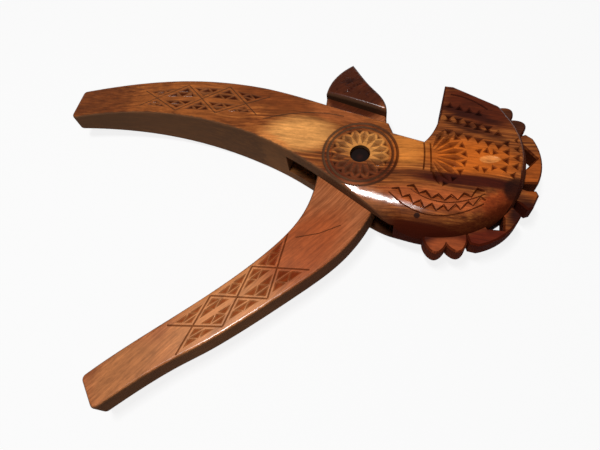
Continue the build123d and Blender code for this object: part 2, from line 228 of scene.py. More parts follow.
def chip_between(cuts, wood, corners, ridge, steep=0.0, slope=KNIFE_SLOPE, sink=0.0, field=None):
    """A chip that fills the triangle between these corners, apart from half a ridge along each side. Steep
    moves its deepest place towards the first corner, as when the knife first cuts straight down there,
    and sink lowers the whole chip into the wood, in mm. Field names three uncut corners to stand on."""
    drawn = [(x + by_eye.uniform(-SLIP, SLIP), y + by_eye.uniform(-SLIP, SLIP)) for x, y in corners]
    (a, b, c), middle, reach = inset(drawn, ridge / 2)
    stand = over_field(wood, field, middle) if field else on_wood(wood, middle, 0.0)
    if stand is None:
        return
    if (b - a).cross(c - a) < 0:
        b, c = c, b
    depth = reach * slope
    point = ((Vector(corners[0]) - middle) * LEAN * steep).to_3d() - Vector((0, 0, depth))
    lift = LIFT + sink / depth
    mouth = []
    for corner in (a, b, c):
        rim = (corner - middle).to_3d()
        mouth.append(rim + (rim - point) * lift)
    base = bpy.data.meshes.new("chip")
    base.from_pydata(mouth + [point], [], [(0, 1, 2), (1, 0, 3), (2, 1, 3), (0, 2, 3)])
    base.transform(stand @ Matrix.Translation((0, 0, -sink * MM)) @ Matrix.Scale(MM, 4))
    cut = bpy.data.objects.new("chip", base)
    bpy.context.scene.collection.objects.link(cut)
    cuts.append(cut)


# %% Threads, and taking the cuts out
def thread(cuts, wood, places, wide):
    """A V-shaped line, this wide at the surface, through these plan places."""
    curve = bpy.data.curves.new("thread", "CURVE")
    curve.dimensions = "3D"
    curve.twist_mode = "Z_UP"
    curve.bevel_depth = wide / 2 * MM
    curve.bevel_resolution = 0
    curve.use_fill_caps = True
    line = curve.splines.new("POLY")
    spots = [stand.translation for stand in (on_wood(wood, place, 0.0) for place in places) if stand]
    line.points.add(len(spots) - 1)
    for point, spot in zip(line.points, spots):
        point.co = (*spot, 1)
    cut = bpy.data.objects.new("thread", curve)
    bpy.context.scene.collection.objects.link(cut)
    only(cut)
    bpy.ops.object.convert(target="MESH")
    bpy.ops.object.mode_set(mode="EDIT")
    bpy.ops.mesh.select_all(action="SELECT")
    bpy.ops.mesh.remove_doubles(threshold=0.001 * MM)
    bpy.ops.mesh.normals_make_consistent(inside=False)
    bpy.ops.object.mode_set(mode="OBJECT")
    cuts.append(bpy.context.object)


def carve(piece, cuts, what):
    """Takes these cuts out of the piece in one pass. Cuts of one pass don't touch each other."""
    only(*cuts)
    if len(cuts) > 1:
        bpy.ops.object.join()
    knife = bpy.context.object
    cut = piece.modifiers.new("cut", "BOOLEAN")
    cut.operation = "DIFFERENCE"
    cut.solver = "MANIFOLD"
    cut.object = knife
    only(piece)
    bpy.ops.object.modifier_apply(modifier="cut")
    bpy.data.objects.remove(knife, do_unlink=True)
    print(what, len(cuts), "cuts,", len(piece.data.polygons), "faces")


# %% Lines to lay cuts along
def bow(a, middle, b, steps):
    """Plan places along a smooth curve from a to b that passes through the middle."""
    pull = (2 * middle[0] - (a[0] + b[0]) / 2, 2 * middle[1] - (a[1] + b[1]) / 2)
    places = []
    for k in range(steps + 1):
        t = k / steps
        early, mid, late = (1 - t) ** 2, 2 * t * (1 - t), t * t
        places.append(tuple(early * p + mid * q + late * r for p, q, r in zip(a, pull, b)))
    return places


def between(a, b, share):
    """The place this share of the way from a to b."""
    return a[0] + (b[0] - a[0]) * share, a[1] + (b[1] - a[1]) * share


# %% [markdown]
# ## The rosette
# The frame has the sixteen petals round the pin and the two rings. Between the tips of the petals the
# carver took out small chips, so that the tips stand as a row of points. On the handle's side a line
# arches over the palest wood.

# %% Chips between the petals
PIN = (0.0, 0.0)
PETALS = 16


def tip_chip(cuts, centre, turn, near, far, spread):
    """A chip that points at the centre, from one radius to another. Its far side spreads by this angle to
    the left and to the right."""
    corners = []
    for radius, aside in ((near, 0.0), (far, spread), (far, -spread)):
        angle = radians(turn + aside)
        corners.append((centre[0] + radius * cos(angle), centre[1] + radius * sin(angle)))
    chip_between(cuts, block_wood, corners, ridge=0.2)


cuts = []
for k in range(PETALS):
    tip_chip(cuts, PIN, 360 / PETALS * (k + 0.5), near=11.3, far=13.9, spread=8.6)
carve(block, cuts, "chips between the petals")

cuts = []
thread(cuts, block_wood, bow((-52.0, 12.6), (-32.0, 19.6), (-12.0, 20.4), 20), wide=0.6)
carve(block, cuts, "line over the palest wood")

# %% [markdown]
# ## The fan
# Beside the mouth the frame has half a rosette. Two upright lines close it off towards the pin, and small
# chips stand round the tips of its petals. A pod with chips round it follows, and two columns of chips
# close the row.

# %% Lines and chips of the fan
FAN = (31.0, 4.2)
FAN_TURN = 3.0          # direction of its middle petal, in degrees
FAN_STEP = 17.0         # angle from petal to petal

cuts = []
thread(cuts, block_wood, bow((28.0, 12.2), (29.5, 4.0), (30.0, -4.2), 12), wide=0.8)
thread(cuts, block_wood, bow((31.2, 11.0), (32.4, 4.0), (33.6, -4.6), 12), wide=0.8)
carve(block, cuts, "upright lines")

cuts = []
for k in range(-4, 4):
    tip_chip(cuts, FAN, FAN_TURN + FAN_STEP * (k + 0.5), near=14.4, far=17.7, spread=7.2)
carve(block, cuts, "chips round the fan")

# %% Pod and columns
COLUMN_STEP = 4.7       # from one chip of a column to the next, in mm

cuts = []
press(cuts, pod_tool, block_wood, (53.4, 5.4), 10, length=9.2, width=4.4, depth=1.2)
chips_round_pod = [
    # x, y, turn, size
    (52.4, 9.4, 48, 3.4),
    (56.4, 9.6, 84, 3.4),
    (60.6, 9.6, 118, 3.2),
    (52.6, 1.8, -62, 3.2),
    (56.6, 1.8, -92, 3.4),
    (60.8, 3.2, -118, 3.2),
]
for x, y, turn, size in chips_round_pod:
    press(cuts, chip_tool, block_wood, (x, y), turn, length=size, width=size)
for count, front, first, bulge in ((4, 66.6, 16.4, 0.22), (5, 71.2, 18.6, 0.25)):
    for k in range(count):
        place = (front - bulge * (k - (count - 1) / 2) ** 2, first - COLUMN_STEP * k)
        press(cuts, chip_tool, block_wood, place, 180, length=3.4, width=4.3)
carve(block, cuts, "pod and columns")

# %% [markdown]
# ## The near edge of the head
# Two rows of low chips run along the rounded near edge. Each chip is cut down steeply at its tip and runs
# out towards the edge. A fine line along the sides of the chips makes a zigzag of each row, and a smooth
# line lies under it.

# %% Zigzag
cuts = []
thread(cuts, block_wood, bow((16.5, -18.0), (37.0, -25.6), (58.0, -16.0), 30), wide=0.8)
thread(cuts, block_wood, bow((26.0, -14.9), (41.4, -19.1), (58.0, -11.6), 20), wide=0.6)
carve(block, cuts, "lines under the rows")

lower_feet = bow((17.6, -16.2), (38.2, -23.5), (58.5, -14.3), 8)
lower_tips = bow((18.0, -13.4), (38.6, -20.6), (58.6, -11.4), 8)
upper_feet = bow((24.0, -13.8), (41.2, -18.2), (57.6, -10.4), 6)
upper_tips = bow((24.0, -11.2), (41.0, -15.4), (57.0, -7.6), 6)
zigzag_rows = [("lower zigzag row", lower_feet, lower_tips), ("upper zigzag row", upper_feet, upper_tips)]
for what, feet, tips in zigzag_rows:
    cuts = []
    zigzag = [feet[0]]
    for k in range(len(feet) - 1):
        tip = between(tips[k], tips[k + 1], 0.5)
        corners = (tip, feet[k], feet[k + 1])
        chip_between(cuts, block_wood, corners, ridge=0.7, steep=0.9, slope=0.8, sink=0.35)
        zigzag += [between(feet[k], tip, 0.5), tip, between(tip, feet[k + 1], 0.5), feet[k + 1]]
    carve(block, cuts, what)
    cuts = []
    thread(cuts, block_wood, zigzag, wide=0.8)
    carve(block, cuts, "edge of the " + what)

# %% [markdown]
# ## The beak
# Rows of small chips cross the beak below a shallow line. Each row points the other way from the last.

# %% Rows across the beak
CHIP_STEP = 4.6         # from one chip of a row to the next, in mm
ROW_X = 38.0            # where the heights of the rows are given
SLANT = 0.2             # how far a row falls for each mm to the right

cuts = []
thread(cuts, block_wood, bow((37.0, 41.4), (46.0, 39.6), (55.0, 34.6), 14), wide=0.9)
carve(block, cuts, "line on the beak")
beak_rows = [(6, 38.6, 20.4), (6, 37.8, 24.6), (5, 37.6, 28.8), (4, 37.4, 33.0)]    # chips, left, height
for number, (count, left, height) in enumerate(beak_rows, start=1):
    cuts = []
    for k in range(count):
        x = left + CHIP_STEP * k
        y = height - SLANT * (x - ROW_X)
        press(cuts, chip_tool, block_wood, (x, y), -90 if number % 2 else 90, length=3.6, width=4.4)
    carve(block, cuts, "row %d on the beak" % number)

# %% [markdown]
# ## The two lattices
# Both handles carry a lattice: straps that cross like a row of Xs, each with a fine line along its
# middle. Each field between the straps is a triangle, and four chips fill it: one in each corner and one
# in the middle, with a sharp ridge round each. The frame already has the corner chips, and here they are
# cut once more, a little wider, to leave a thin ridge beside the middle one. Where the wood between the
# straps is already cut, a chip stands on the plane through the field's three uncut corners.

# %% Fields between straps
def crossing(a, b, c, d):
    """Where the line from a to b meets the line from c to d."""
    across = (b[0] - a[0]) * (d[1] - c[1]) - (b[1] - a[1]) * (d[0] - c[0])
    share = ((c[0] - a[0]) * (d[1] - c[1]) - (c[1] - a[1]) * (d[0] - c[0])) / across
    return between(a, b, share)


def fields(far, near):
    """The triangular fields that the straps leave between these two rows of corners."""
    crosses = [crossing(far[k], near[k + 1], near[k], far[k + 1]) for k in range(len(far) - 1)]
    found = []
    for side in (far, near):
        found += [(side[k], side[k + 1], cross) for k, cross in enumerate(crosses)]
        found += [(crosses[k - 1], side[k], crosses[k]) for k in range(1, len(crosses))]
    return found


def corner_chips(a, b, c):
    """The corners of the three chips in the corners of a field."""
    halves = []
    for corner, left, right in ((a, b, c), (b, c, a), (c, a, b)):
        halves.append((corner, (corner + left) / 2, (corner + right) / 2))
    return halves


def middle_chip(a, b, c):
    """The corners of the chip in the middle of a field."""
    return [((b + c) / 2, (c + a) / 2, (a + b) / 2)]


# %% Cutting both lattices
LINE_PARTS = 12         # a line along a strap follows the wood in this many straight parts


def lattice(piece, wood, far, near, strap, line):
    """Cuts a lattice whose straps are this wide, in mm, with a line this wide along each."""
    for what, chips in (("corners of the fields", corner_chips), ("middles of the fields", middle_chip)):
        cuts = []
        for field in fields(far, near):
            for corners in chips(*inset(field, strap / 2)[0]):
                chip_between(cuts, wood, corners, ridge=0.4, field=field)
        carve(piece, cuts, what)
    for start, end in ((far, near), (near, far)):
        cuts = []
        for a, b in zip(start, end[1:]):
            places = [between(a, b, k / LINE_PARTS) for k in range(LINE_PARTS + 1)]
            thread(cuts, wood, places, line)
        carve(piece, cuts, "strap lines")


handle_far = [(-124.0, 24.5), (-99.5, 30.2), (-75.5, 31.0), (-52.0, 26.8)]
handle_near = [(-124.0, 14.2), (-101.5, 12.8), (-78.5, 13.4), (-56.0, 14.6)]
lattice(block, block_wood, handle_far, handle_near, strap=2.4, line=0.6)

lever_far = [on_lever(*place) for place in ((117.0, 0.3), (94.8, 2.8), (72.6, 5.0), (50.4, 4.1))]
lever_near = [on_lever(*place) for place in ((121.6, 13.4), (99.4, 17.6), (77.2, 21.5), (55.0, 24.3))]
lattice(lever, lever_wood, lever_far, lever_near, strap=1.8, line=0.8)

# %% Lines that close the lever's lattice
cuts = []
thread(cuts, lever_wood, [on_lever(119.2, -3.4), on_lever(121.0, 5.5), on_lever(123.4, 14.6)], wide=0.7)
thread(cuts, lever_wood, [on_lever(49.0, 8.0), on_lever(40.0, 14.0), on_lever(30.0, 18.0)], wide=0.5)
carve(lever, cuts, "scribed lines")

# %% [markdown]
# ## The jaw
# The jaw's upper face is rough: short gouge strokes in all directions, worn nearly smooth.

# %% Gouge strokes on the jaw
STROKES = 36

for k in range(STROKES):
    cuts = []
    place = (by_eye.uniform(-20, 2), by_eye.uniform(36, 55))
    turn = by_eye.uniform(0, 180)
    length = by_eye.uniform(2.5, 5.0)
    width = by_eye.uniform(1.4, 2.6)
    depth = by_eye.uniform(0.3, 0.7)
    press(cuts, pod_tool, lever_wood, place, turn, length, width, depth)
    if cuts:
        carve(lever, cuts, "stroke")

for tool in (chip_tool, pod_tool):
    bpy.data.objects.remove(tool, do_unlink=True)

# %% [markdown]
# ## Depth of cut and smooth edges
# Each corner of the mesh remembers how deep it lies below the face, so that the cuts can be coloured
# darker: partly the stain and dirt that gather there, partly painted shade in the hollows. Hands have worn
# every sharp edge, so each gets a narrow bevel that catches the light. Rounded edges are shaded smooth,
# while the sides of a chip keep their crisp borders. Weighted normals keep the broad flat faces flat.

# %% Remembering the depth, and shading
DEEPEST = 1.6           # deeper than this, in mm, all places count the same
NEAR_FACE = 2.0         # a corner less than this far under a face, in mm, can be in a cut that it has
LEVEL = 0.85            # a corner's normal has this much z on a face or in a cut, and less on an edge


def depth_below(wood, vertex, zones):
    """How deep this corner of the mesh lies, in mm. A zone is a circle in plan, with the share of its
    depth that counts. Where the frame has cuts too, it also has the height of the face above them, as a
    number or as a function of x."""
    x, y, z = vertex.co / MM
    depth = wood.find_nearest(vertex.co)[3] / MM
    for centre, radius, share, face in zones:
        if hypot(x - centre[0], y - centre[1]) < radius:
            top = face(x) if callable(face) else face
            if top and z > top - NEAR_FACE and vertex.normal.z > LEVEL:
                depth = top - z
            return min(depth * share, DEEPEST)
    return min(depth, DEEPEST)


def finish_surface(piece, wood, zones, wear):
    """Stores each corner's depth of cut, wears the edges by this much, in mm, and shades the piece."""
    depths = [depth_below(wood, vertex, zones) for vertex in piece.data.vertices]
    stored = piece.data.attributes.new("cut_depth", "FLOAT", "POINT")
    stored.data.foreach_set("value", depths)
    only(piece)
    worn = piece.modifiers.new("worn_edges", "BEVEL")
    worn.width = wear * MM
    worn.segments = 2
    worn.limit_method = "ANGLE"
    worn.angle_limit = radians(20)
    bpy.ops.object.modifier_apply(modifier="worn_edges")
    bpy.ops.object.shade_smooth_by_angle(angle=radians(22))
    weighted = piece.modifiers.new("weighted", "WEIGHTED_NORMAL")
    weighted.keep_sharp = True
    bpy.ops.object.modifier_apply(modifier="weighted")
    print(piece.name, "deepest", round(max(depths), 2), "mm,", len(piece.data.polygons), "faces")


# %% Where the cuts are
BESIDE_LATTICE = 12.0   # y of uncut wood all along the handle's lattice


def over_handle(x):
    """Height of the handle's upper face at x, in mm."""
    return on_wood(block_wood, (x, BESIDE_LATTICE), 0.0).translation.z / MM


block_zones = [
    # centre, radius, share, face
    (PIN, 12.6, 0.3, BLOCK_TOP),                # the rosette
    (FAN, 15.6, 0.4, BLOCK_TOP),                # the fan
    ((58.5, 6.5), 3.0, 0.2, None),              # the pod
    ((24, -17), 8.0, 0.2, None),                # the zigzag, in three circles
    ((38, -21), 9.0, 0.2, None),
    ((53, -16), 9.0, 0.2, None),
]
# the lattices, in circles along the handle and the lever
block_zones += [((x, 21.0), 11.0, 1.0, over_handle) for x in range(-122, -52, 9)]
lever_zones = [(on_lever(station, 12), 11.0, 1.0, LEVER_TOP) for station in range(56, 124, 9)]
finish_surface(block, block_wood, block_zones, wear=0.13)
finish_surface(lever, lever_wood, lever_zones, wear=0.22)

# %% [markdown]
# ## Varnished wood
# The block is a dark fruitwood under a glossy oil varnish. Its colour comes from four sizes of pattern:
# broad bands where the heartwood changes from gold to nearly black, soft blotches a few millimetres wide,
# growth lines about 2 mm apart, and pores a quarter of a millimetre wide that run along the grain. Most
# bands lie where the tree put them, so they are listed as soft ovals, and a streaky noise frays their edges
# along the grain; two carry painted light, a painted highlight between the rosette and the near edge and
# painted shade on the darker wood under the near edge. The upright sides took less varnish, so they are
# dull, and so are the block's stained cuts. Both are also coloured darker, partly as painted shade.

# %% Helpers for materials
def linear(code):
    """The linear colour for an sRGB hex code."""
    parts = [int(code[k:k + 2], 16) / 255 for k in (1, 3, 5)]
    return [part / 12.92 if part <= 0.04045 else ((part + 0.055) / 1.055) ** 2.4 for part in parts] + [1.0]


def add(tree, kind, links=(), **settings):
    """Adds a node with its settings, and gives its inputs their values or links."""
    node = tree.nodes.new(kind)
    for name, value in settings.items():
        setattr(node, name, value)
    for name, source in dict(links).items():
        if isinstance(source, bpy.types.NodeSocket):
            tree.links.new(source, node.inputs[name])
        else:
            node.inputs[name].default_value = source
    return node


def new_material(name):
    """An empty material and its node tree, with the shader and the output joined."""
    material = bpy.data.materials.new(name)
    material.use_nodes = True
    tree = material.node_tree
    tree.nodes.clear()
    shader = add(tree, "ShaderNodeBsdfPrincipled")
    add(tree, "ShaderNodeOutputMaterial", {"Surface": shader.outputs["BSDF"]})
    return material, tree, shader


# %% Growth lines and streaks
def streaks(tree, along_grain, scale, detail, roughness):
    """A noise drawn out along the grain: scale is patches to the mm, first along it and then across."""
    along, across = scale
    stretched = add(tree, "ShaderNodeMapping", {"Vector": along_grain, "Scale": (along, across, across)})
    return add(tree, "ShaderNodeTexNoise", {"Vector": stretched.outputs[0], "Scale": 1.0, "Detail": detail,
                                            "Roughness": roughness})


def shaded(tree, colour, pattern, low, high, dark, light):
    """The colour times a factor: dark where the pattern is low, and light where it is high."""
    factor = add(tree, "ShaderNodeMapRange", {"Value": pattern, "From Min": low, "From Max": high,
                                              "To Min": dark, "To Max": light})
    product = add(tree, "ShaderNodeVectorMath", {0: colour, "Scale": factor.outputs[0]}, operation="SCALE")
    return product.outputs[0]


def wandering(tree, in_mm, grain_turn):
    """Coordinates in mm that follow the grain, which runs in this direction and drifts a little."""
    grain = add(tree, "ShaderNodeMapping", {"Vector": in_mm, "Rotation": (0, 0, radians(-grain_turn))})
    drift = add(tree, "ShaderNodeTexNoise", {"Vector": grain.outputs[0], "Scale": 0.018, "Detail": 1.0})
    drift_by = add(tree, "ShaderNodeVectorMath", {0: drift.outputs["Color"], 1: (0.5, 0.5, 0.5)},
                   operation="SUBTRACT")
    bent = add(tree, "ShaderNodeVectorMath", {0: drift_by.outputs[0], 1: (0.0, 9.0, 9.0),
                                              2: grain.outputs[0]}, operation="MULTIPLY_ADD")
    return bent.outputs[0]


def growth_colour(tree, growth, colours):
    """The colour between early and late wood, from darkest to palest."""
    ramp = add(tree, "ShaderNodeValToRGB", {"Fac": growth})
    stops = ramp.color_ramp.elements
    while len(stops) < len(colours):
        stops.new(0.5)
    for stop, (position, code) in zip(stops, colours):
        stop.position = position
        stop.color = linear(code)
    return ramp.outputs["Color"]


# %% Broad bands and stained rings
def banded(tree, colour, in_mm, along_grain, bands):
    """Soft ovals of other colours. The edge of a frayed oval is drawn out along the grain."""
    fray = streaks(tree, along_grain, (0.03, 0.6), 4.0, 0.5)
    fray_by = add(tree, "ShaderNodeVectorMath", {0: fray.outputs["Color"], 1: (0.5, 0.5, 0.5)},
                  operation="SUBTRACT")
    frayed = add(tree, "ShaderNodeVectorMath", {0: fray_by.outputs[0], 1: (9.0, 4.5, 0.0), 2: in_mm},
                 operation="MULTIPLY_ADD")
    for code, centre, radii, turn, strength, edge in bands:
        source = in_mm if edge == "crisp" else frayed.outputs[0]
        oval = add(tree, "ShaderNodeMapping", {"Vector": source, "Location": centre, "Scale": radii,
                                               "Rotation": (0, 0, radians(turn))}, vector_type="TEXTURE")
        reach = add(tree, "ShaderNodeVectorMath", {0: oval.outputs[0]}, operation="LENGTH")
        inner = {"crisp": 0.78, "frayed": 0.5}[edge]
        inside = add(tree, "ShaderNodeMapRange", {"Value": reach.outputs["Value"], "From Min": inner,
                                                  "From Max": 1.1, "To Min": strength, "To Max": 0.0},
                     interpolation_type="SMOOTHSTEP")
        tinted = add(tree, "ShaderNodeMix", {"Factor": inside.outputs[0], 6: colour, 7: linear(code)},
                     data_type="RGBA")
        colour = tinted.outputs[2]
    return colour


def ringed(tree, colour, in_mm, rings):
    """Rings of stain, seen in plan, that darken the wood under them."""
    for code, centre, radius, width, strength in rings:
        flat = add(tree, "ShaderNodeVectorMath", {0: in_mm, 1: centre}, operation="SUBTRACT")
        in_plan = add(tree, "ShaderNodeVectorMath", {0: flat.outputs[0], 1: (1.0, 1.0, 0.0)},
                      operation="MULTIPLY")
        reach = add(tree, "ShaderNodeVectorMath", {0: in_plan.outputs[0]}, operation="LENGTH")
        aside = add(tree, "ShaderNodeMath", {0: reach.outputs["Value"], 1: radius}, operation="SUBTRACT")
        off = add(tree, "ShaderNodeMath", {0: aside.outputs[0]}, operation="ABSOLUTE")
        inside = add(tree, "ShaderNodeMapRange", {"Value": off.outputs[0], "From Min": width * 0.35,
                                                  "From Max": width * 0.6, "To Min": strength, "To Max": 0.0})
        tinted = add(tree, "ShaderNodeMix", {"Factor": inside.outputs[0], 6: colour, 7: linear(code)},
                     data_type="RGBA", blend_type="MULTIPLY")
        colour = tinted.outputs[2]
    return colour


# %% Sides and cuts
def shade_sides(tree, colour, normal, spot, shallow, wall):
    """Upright sides get a darker, greyer colour, but not inside a cut: partly duller side grain, partly
    painted shade. Returns the colour and how far this is a side. wall is their colour at the handle, where
    it starts to change, where it ends, and the colour at the head."""
    levelness = add(tree, "ShaderNodeMath", {0: normal.outputs["Z"]}, operation="ABSOLUTE")
    steepness = add(tree, "ShaderNodeMapRange", {"Value": levelness.outputs[0], "From Min": 0.66,
                                                 "From Max": 0.95, "To Min": 0.85, "To Max": 0.0},
                    interpolation_type="SMOOTHSTEP")
    side = add(tree, "ShaderNodeMath", {0: steepness.outputs[0], 1: shallow}, operation="MULTIPLY")
    handle_code, start, end, head_code = wall
    along = add(tree, "ShaderNodeMapRange", {"Value": spot.outputs["X"], "From Min": start, "From Max": end})
    tint = add(tree, "ShaderNodeMix", {"Factor": along.outputs[0], 6: linear(handle_code),
                                       7: linear(head_code)}, data_type="RGBA")
    # painted shade and duller side grain: the upright sides take the wall colour
    mixed = add(tree, "ShaderNodeMix", {"Factor": side.outputs[0], 6: colour, 7: tint.outputs[2]},
                data_type="RGBA")
    return mixed.outputs[2], side.outputs[0]


def shade_mortise_floor(tree, colour, normal, spot):
    """The hidden floor of the mortise is painted near-black: painted shade low down in the slot."""
    low_down = add(tree, "ShaderNodeMapRange", {"Value": spot.outputs["Z"], "From Min": 7.0, "From Max": 9.5,
                                                "To Min": 1.0, "To Max": 0.0})
    facing_up = add(tree, "ShaderNodeMapRange", {"Value": normal.outputs["Z"], "From Min": 0.5,
                                                 "From Max": 0.9})
    painted_floor_shade = add(tree, "ShaderNodeMath", {0: low_down.outputs[0], 1: facing_up.outputs[0]},
               operation="MULTIPLY")
    # painted shade: the floor of the mortise turns near-black
    mixed = add(tree, "ShaderNodeMix", {"Factor": painted_floor_shade.outputs[0], 6: colour, 7: linear("#120906")},
                data_type="RGBA")
    return mixed.outputs[2]


# %% Wood, in layers
def wood_colour(tree, grain_turn, colours, bands, rings, wall, cut_stain_and_shade, mottle):
    """The colour, the pores and the dullness of a varnished wood. bands and rings are the places where the
    tree or the stain changes it, or where light and shade are painted on, and mottle is the factors of its
    dark and pale blotches. cut_stain_and_shade is for the cuts, which it darkens partly as stain and partly
    as
    painted shade: the colour that it multiplies with, its share, and how much of the gloss it takes."""
    place = add(tree, "ShaderNodeTexCoord")
    scaled = add(tree, "ShaderNodeVectorMath", {0: place.outputs["Object"], "Scale": 1000.0},
                 operation="SCALE")
    in_mm = scaled.outputs[0]
    normal = add(tree, "ShaderNodeSeparateXYZ", {0: place.outputs["Normal"]})
    spot = add(tree, "ShaderNodeSeparateXYZ", {0: in_mm})
    along_grain = wandering(tree, in_mm, grain_turn)
    # growth lines about 2 mm apart and 100 times longer than wide, which run through the bands too
    growth = streaks(tree, along_grain, (0.010, 1.1), 4.0, 0.55).outputs["Fac"]
    colour = growth_colour(tree, growth, colours)
    colour = banded(tree, colour, in_mm, along_grain, bands)
    colour = ringed(tree, colour, in_mm, rings)
    colour = shaded(tree, colour, growth, 0.32, 0.68, 0.86, 1.16)
    # pores: 0.25 mm wide, 5 mm long
    pores = streaks(tree, along_grain, (0.2, 3.8), 2.0, 0.55).outputs["Fac"]
    colour = shaded(tree, colour, pores, 0.34, 0.5, 0.82, 1.04)
    # hands and oil have left soft blotches a few millimetres wide
    blotches = streaks(tree, along_grain, (0.12, 0.3), 6.0, 0.72).outputs["Fac"]
    colour = shaded(tree, colour, blotches, 0.3, 0.7, *mottle)
    # how far down a cut, as a share: stain gathers there, and painted shade darkens the cuts too
    cut = add(tree, "ShaderNodeAttribute", attribute_name="cut_depth")
    deep = add(tree, "ShaderNodeMapRange", {"Value": cut.outputs["Fac"], "From Min": 0.02, "From Max": 0.5})
    shallow = add(tree, "ShaderNodeMath", {0: 1.0, 1: deep.outputs[0]}, operation="SUBTRACT")
    # upright sides coloured darker, partly as painted shade
    colour, side = shade_sides(tree, colour, normal, spot, shallow.outputs[0], wall)
    # painted shade on the floor of the mortise
    colour = shade_mortise_floor(tree, colour, normal, spot)
    stain_and_shade_code, stain_and_shade_share, dulling = cut_stain_and_shade
    share = add(tree, "ShaderNodeMath", {0: deep.outputs[0], 1: stain_and_shade_share}, operation="MULTIPLY")
    # the cuts multiplied darker: partly stain, partly painted shade
    stained_and_shaded = add(tree, "ShaderNodeMix", {"Factor": share.outputs[0], 6: colour, 7: linear(stain_and_shade_code)},
                  data_type="RGBA", blend_type="MULTIPLY")
    # and the cuts take less varnish than the face
    starved = add(tree, "ShaderNodeMath", {0: share.outputs[0], 1: dulling}, operation="MULTIPLY")
    matt = add(tree, "ShaderNodeMath", {0: side, 1: starved.outputs[0]}, operation="MAXIMUM")
    return stained_and_shaded.outputs[2], pores, matt.outputs[0]


# %% Varnish
MATT = 0.85             # roughness of wood without varnish, and the dullness at which none is left


def varnish(tree, shader, colour, height, matt, bump, roughness, coat, coat_roughness):
    """Wood under varnish: a clear coat over a duller body, with the pores just felt through it. Where the
    wood is matt there is no coat."""
    relief = add(tree, "ShaderNodeBump", {"Height": height, "Strength": bump, "Distance": 0.1 * MM})
    rougher = add(tree, "ShaderNodeMapRange", {"Value": matt, "From Max": MATT, "To Min": roughness,
                                               "To Max": MATT})
    weight = add(tree, "ShaderNodeMapRange", {"Value": matt, "From Max": MATT, "To Min": coat, "To Max": 0.0})
    tree.links.new(colour, shader.inputs["Base Color"])
    tree.links.new(relief.outputs["Normal"], shader.inputs["Normal"])
    tree.links.new(rougher.outputs[0], shader.inputs["Roughness"])
    tree.links.new(weight.outputs[0], shader.inputs["Coat Weight"])
    shader.inputs["IOR"].default_value = 1.5
    shader.inputs["Specular IOR Level"].default_value = 0.04
    shader.inputs["Coat Roughness"].default_value = coat_roughness
    shader.inputs["Coat IOR"].default_value = 1.52


# %% The block's wood
block_bands = [
    # colour, centre, radii, direction of the first radius, strength, edge
    ("#6a3414", (-150, 15, 14), (28, 16, 60), 8, 0.8, "frayed"),      # handle's end
    ("#985424", (-95, 21, 14), (42, 16, 60), 5, 0.75, "frayed"),      # round the lattice
    ("#7a3c17", (-50, 27, 14), (34, 8, 60), -12, 0.85, "frayed"),     # far edge of the neck
    ("#a0562a", (-14, 22, 14), (20, 7, 60), -6, 0.9, "frayed"),       # far edge by the rosette
    ("#e39c54", (-31, 7.0, 14), (22, 11.5, 60), 4, 0.97, "frayed"),   # golden oval beside the rosette
    ("#cf7e3e", (-42, -1, 14), (14, 5, 60), -30, 0.8, "frayed"),      # golden near edge of the neck
    ("#d28c46", (5, 5.4, 14), (18, 10.0, 60), 4, 0.97, "frayed"),     # golden half of the rosette
    ("#ca7830", (21, 6, 14), (13, 11, 60), 0, 0.97, "frayed"),        # golden wood by the mouth
    ("#6a3014", (-2, -9.6, 14), (17, 7.2, 60), 2, 0.95, "frayed"),    # dark half of the rosette
    ("#c6621a", (50, 6, 14), (25, 13, 60), 0, 0.95, "frayed"),        # orange wood under the fan
    ("#b2582a", (36, -18, 14), (30, 7, 60), 2, 0.85, "frayed"),       # under the zigzag
    ("#420f03", (50, -6.3, 14), (34, 4.4, 60), 3, 0.97, "frayed"),    # dark streak
    ("#9a3c14", (64, -14, 14), (10, 6, 60), 40, 0.8, "frayed"),       # red wood at the end of the zigzag
    # the next band is darker wood, with painted shade where the near edge turns under
    ("#3a0c02", (34, -34, 14), (36, 7.5, 60), 2, 0.97, "frayed"),     # underside of the near edge
    # the next band is a painted highlight, running on from the white line on the near edge
    ("#a8643a", (6, -20, 14), (15, 5.5, 60), -24, 0.85, "frayed"),    # between the rosette and the near edge
    ("#521c08", (50, 36, 14), (26, 15, 60), -20, 0.95, "frayed"),     # beak
    ("#340f05", (46, 30.5, 14), (20, 2.8, 60), -12, 0.85, "frayed"),  # dark lines across the beak
    ("#3a1206", (50, 21.5, 14), (19, 2.4, 60), -12, 0.75, "frayed"),
    ("#5e1a06", (62, -32, 6), (22, 12, 20), 25, 0.95, "crisp"),       # near arch
    ("#9e4c16", (81, 6, 6), (8, 16, 20), 0, 0.9, "crisp"),            # far arch
    ("#300a03", (77, -14, 6), (12, 9.5, 20), 60, 0.97, "crisp"),      # knob and the wood beside it
    ("#9c4a24", (46, -37, 6), (14, 8, 20), 10, 0.9, "crisp"),         # near buds
    ("#45200f", (69, 36, 6), (13, 11, 20), -40, 0.95, "crisp"),       # far buds
    ("#220702", (72, -7, 27), (7, 6.5, 5.5), 0, 0.9, "crisp"),        # dark end of the streak
    ("#f0954a", (58.4, 6.6, 26), (4.8, 2.1, 9), 10, 0.97, "crisp"),   # golden wood in the pod
    ("#1c0a04", (30.5, -26.5, 24), (1.5, 1.2, 6), 0, 0.95, "crisp"),  # a knot
]
block_rings = [
    # colour to multiply with, centre, radius, width, strength
    ("#cca88a", (0, 0, 0), 15.9, 4.8, 0.8),         # stained ring round the rosette
]
block_material, tree, shader = new_material("varnished_fruitwood_block")
# sawn fruitwood under many coats of oil varnish: deep colour, and a sharp gloss on its rounded edges
block_growth = [(0.25, "#4a200c"), (0.45, "#7c3f19"), (0.6, "#9a5524"), (0.8, "#b97434")]
